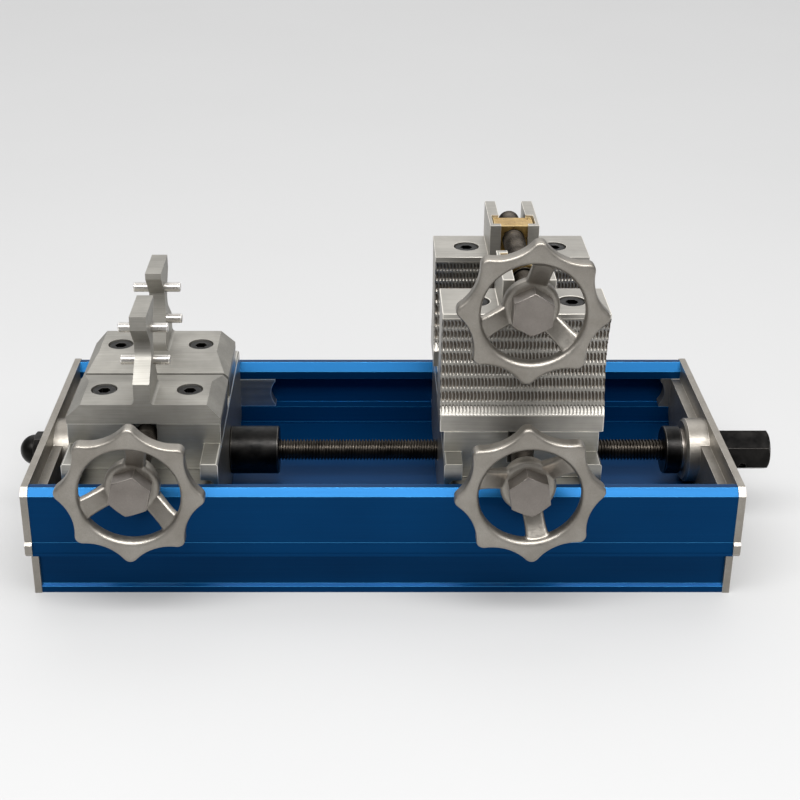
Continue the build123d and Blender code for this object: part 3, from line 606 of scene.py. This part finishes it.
def wheel_mesh():
    """The whole casting: rim, spokes and hub made one and softened."""
    bm = bmesh.new()
    ring_solid(bm, rim_section, RIM_STEPS)
    for i in range(SPOKES):
        turned = Matrix.Rotation(math.pi / 2 + 2 * math.pi * i / SPOKES, 3, "Z")
        loft(bm, [[turned @ Vector(p) for p in section] for section in spoke_sections()])
    profile = [bm.verts.new((r * MM, 0, z * MM)) for r, z in HUB]
    edges = [bm.edges.new(pair) for pair in zip(profile, profile[1:])]
    bmesh.ops.spin(
        bm, geom=profile + edges, cent=(0, 0, 0), axis=(0, 0, 1), angle=2 * math.pi,
        steps=HUB_STEPS, use_merge=True,
    )
    bmesh.ops.remove_doubles(bm, verts=bm.verts, dist=1e-7)
    bmesh.ops.recalc_face_normals(bm, faces=bm.faces)
    mesh = bpy.data.meshes.new("wheel_casting")
    bm.to_mesh(mesh)
    bm.free()
    obj = bpy.data.objects.new("wheel_casting", mesh)
    bpy.context.scene.collection.objects.link(obj)
    remesh = obj.modifiers.new("one casting", "REMESH")
    remesh.mode = "VOXEL"
    remesh.voxel_size = CASTING_VOXEL * MM
    smooth = obj.modifiers.new("soften", "SMOOTH")
    smooth.factor = 0.5
    smooth.iterations = 3
    graph = bpy.context.evaluated_depsgraph_get()
    result = bpy.data.meshes.new_from_object(obj.evaluated_get(graph))
    bpy.data.objects.remove(obj)
    return result


wheel_casting = wheel_mesh()
WHEEL_TURN = {"left_clamp": 250, "right_clamp": 288.5, "upper_clamp": 250.5}   # degrees
for name, turn in WHEEL_TURN.items():
    node = f"{name}_handwheel"
    rim_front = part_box(node)[0].y
    low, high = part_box(f"{name}_screw")
    x, z = axis_of(low, high)
    turn = math.radians(turn)
    across = Vector((-math.cos(turn), 0, math.sin(turn)))
    back = Vector((0, 1, 0))
    place = Matrix((across, back.cross(across), back)).transposed().to_4x4()
    place.translation = (x, rim_front, z)
    bm = bmesh.new()
    bm.from_mesh(wheel_casting)
    bm.transform(place)
    piece(f"{name}_wheel", bm, node, sharp=80)


# ---- toothed hose jaws --------------------------------------------------------------------------
# The hollow faces are arcs from the lip down to the plinth. The inner one looks at the
# hose and the outer one away from it.
RIGHT_OPEN = 10.0            # how far the jaws stand open at rest
JAW_INNER, JAW_OUTER = 15.0 + RIGHT_OPEN, 53.0 + RIGHT_OPEN
JAW_LIP, JAW_PLINTH = 161.3, 104.5
JAW_SAG = 7.0                # depth of the arc in its middle
JAW_HALF = 45.0              # half the jaw's width along X
TOOTH_ROWS = 8
TOOTH_DEPTH = 1.3
TOOTH_PITCH = 25.4 / 13
RIDGE = 0.16                 # share of a row that its ridge takes
RIDGE_DIP = 0.08             # how deep a ridge's hollow is, as a share of the depth
TOOTH_BOW = 0.62             # how far a tooth's middle stands to the right of its ends
CREST = 0.34                 # share of the pitch that a tooth's crest takes
OPENS, OPENS_CURVE = 4.2, 0.4      # how fast the hollow beside a tooth widens from its ends
CREST_CUT = 0.06             # how deep a crest lies, as a share of the depth
END_SLOPE = 5                # a hollow's two ends each slope over 1 / END_SLOPE of its length
BEHIND = 0.7                 # the toothed skin's thickness under the deepest cut
STEPS_ALONG, STEPS_DOWN = 8, 11    # mesh steps to one tooth and to one row
PLAIN_RIM = 0.3              # height of lip and plinth edges that aren't part of the arc
chord = JAW_LIP - JAW_PLINTH
ARC_RADIUS = (chord * chord / 4 + JAW_SAG * JAW_SAG) / (2 * JAW_SAG)
ARC_HALF = math.asin(chord / 2 / ARC_RADIUS)
ARC_EDGE = ARC_RADIUS * math.cos(ARC_HALF)
ARC_Z = (JAW_LIP + JAW_PLINTH) / 2
RIGHT_X = (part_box("right_front_slider")[0].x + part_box("right_front_slider")[1].x) / 2 / MM


def hollow(z):
    """How deep the hollow face is at height z."""
    rise = z - ARC_Z
    return math.sqrt(ARC_RADIUS ** 2 - rise ** 2) - ARC_EDGE


def on_arc(z):
    return JAW_PLINTH + PLAIN_RIM < z < JAW_LIP - PLAIN_RIM


def tooth_cut(x, down):
    """How deep the teeth are cut, 0 to 1: x along the jaw, down in rows from the lip.
    Each row is a ridge over crescent teeth, with a rounded hollow between neighbours."""
    v = down % 1.0
    if v < RIDGE:
        return RIDGE_DIP * math.sin(math.pi * v / RIDGE) ** 2
    w = (v - RIDGE) / (1 - RIDGE)
    bow = TOOTH_BOW * (1 - (2 * w - 1) ** 2)
    from_crest = abs(((x - bow) / TOOTH_PITCH + 0.5) % 1.0 - 0.5)
    open_share = (1 - CREST) * min(1.0, OPENS * w * (1 - w)) ** OPENS_CURVE
    from_hollow = 0.5 - from_crest
    inside = 1 - (from_hollow / max(open_share / 2, 1e-6)) ** 2
    ends = min(1, END_SLOPE * w, END_SLOPE * (1 - w))
    return CREST_CUT + (1 - CREST_CUT) * max(0.0, inside) ** 0.5 * ends


def teeth(bm, side, lip_y, toward):
    """The toothed skin of one hollow face, as a closed slab let into the jaw. The face
    starts at lip_y, and toward says which way it is hollow."""
    cut_layer = bm.verts.layers.float.get("cut") or bm.verts.layers.float.new("cut")
    columns = round(2 * JAW_HALF / TOOTH_PITCH * STEPS_ALONG)
    rows = TOOTH_ROWS * STEPS_DOWN

    def corner(x, y, z, normal, depth):
        p = Vector((RIGHT_X + x, y, z)) + normal * depth
        return bm.verts.new((p.x * MM, side * p.y * MM, p.z * MM))

    front, behind = [], []
    for r in range(rows + 1):
        a = ARC_HALF * (1 - 2 * r / rows)
        z = ARC_Z + ARC_RADIUS * math.sin(a)
        y = lip_y + toward * (ARC_RADIUS * math.cos(a) - ARC_EDGE)
        normal = Vector((0, toward * math.cos(a), math.sin(a)))
        line, back_line = [], []
        for c in range(columns + 1):
            x = -JAW_HALF + 2 * JAW_HALF * c / columns
            cut = tooth_cut(x, TOOTH_ROWS * r / rows) if 0 < r < rows else 0
            vert = corner(x, y, z, normal, TOOTH_DEPTH * cut)
            vert[cut_layer] = cut
            line.append(vert)
            on_rim = r in (0, rows) or c in (0, columns)
            back_line.append(corner(x, y, z, normal, TOOTH_DEPTH + BEHIND) if on_rim else None)
        front.append(line)
        behind.append(back_line)
    for a, b in zip(front, front[1:]):
        for i in range(columns):
            bm.faces.new((a[i], a[i + 1], b[i + 1], b[i]))
    for r in range(rows):
        for c in (0, columns):
            bm.faces.new((front[r][c], front[r + 1][c], behind[r + 1][c], behind[r][c]))
        bm.faces.new((behind[r][0], behind[r + 1][0], behind[r + 1][columns], behind[r][columns]))
    for r in (0, rows):
        for c in range(columns):
            bm.faces.new((front[r][c], front[r][c + 1], behind[r][c + 1], behind[r][c]))


def sink_core(bm, side):
    """Draws the CAD jaw's own toothed rows in, to lie inside the toothed skins."""
    for v in bm.verts:
        at_end = abs(abs(v.co.x / MM - RIGHT_X) - JAW_HALF) < 0.02
        z = v.co.z / MM
        if at_end and on_arc(z):
            sunk = hollow(z) + TOOTH_DEPTH + BEHIND / 2
            faces_hose = side * v.co.y / MM < (JAW_INNER + JAW_OUTER) / 2
            v.co.y = side * (JAW_INNER + sunk if faces_hose else JAW_OUTER - sunk) * MM


for end, side in (("front", -1), ("rear", 1)):
    node = f"{end}_hose_jaw"
    bm = joined_copy(node)
    sink_core(bm, side)
    make_flats_whole(bm)
    ease(bm, 0.5, wanted=lambda edge: not any(on_arc(v.co.z / MM) for v in edge.verts))
    teeth(bm, side, JAW_OUTER, -1)
    teeth(bm, side, JAW_INNER, 1)
    bmesh.ops.recalc_face_normals(bm, faces=bm.faces)
    piece(f"{node}_shape", bm, node, sharp=38)


# ---- stage --------------------------------------------------------------------------------
FLOOR_REACHES = 20           # metres from the middle to each side
bm = bmesh.new()
bmesh.ops.create_grid(bm, x_segments=8, y_segments=8, size=FLOOR_REACHES)
mesh = bpy.data.meshes.new("floor")
bm.to_mesh(mesh)
bm.free()
floor = bpy.data.objects.new("floor", mesh)
bpy.context.scene.collection.objects.link(floor)
mesh.materials.append(pale_floor())

bpy.context.scene.view_settings.view_transform = "Standard"
world = bpy.data.worlds.new("studio")
bpy.context.scene.world = world
world.use_nodes = True
tree = world.node_tree
background = tree.nodes["Background"]
coords = tree.nodes.new("ShaderNodeTexCoord")
split = tree.nodes.new("ShaderNodeSeparateXYZ")
# the studio's walls: a pale line at the floor's far edge, dim just above and bright overhead
ramp = tree.nodes.new("ShaderNodeValToRGB")
ramp.color_ramp.elements.new(0.08)
for element, (height, tone) in zip(ramp.color_ramp.elements, (
    (0.0, (0.34, 0.34, 0.34, 1)), (0.08, (0.19, 0.19, 0.195, 1)), (0.8, (0.7, 0.7, 0.7, 1)),
)):
    element.position = height
    element.color = tone
tree.links.new(coords.outputs["Generated"], split.inputs[0])
tree.links.new(split.outputs["Z"], ramp.inputs["Fac"])
tree.links.new(ramp.outputs["Color"], background.inputs["Color"])


def soft_light(name, location, aim, size, power):
    """A rectangular soft box, in metres and watts."""
    data = bpy.data.lights.new(name, "AREA")
    data.shape = "RECTANGLE"
    data.size, data.size_y = size
    data.energy = power
    obj = bpy.data.objects.new(name, data)
    bpy.context.scene.collection.objects.link(obj)
    obj.location = location
    ahead = Vector(aim) - Vector(location)
    obj.rotation_euler = ahead.to_track_quat("-Z", "Y").to_euler()


MACHINE = (0, 0, 0.05)
FLOOR_BEHIND = (0, 1.2, 0)
soft_light("overhead_strip", (0, -0.93, 1.58), MACHINE, (2.4, 0.52), 56)
soft_light("back_sweep", (0, 2.3, 1.1), MACHINE, (3.2, 1.2), 6)
soft_light("overhead", (0, 1.6, 2.2), FLOOR_BEHIND, (4.0, 2.4), 34)
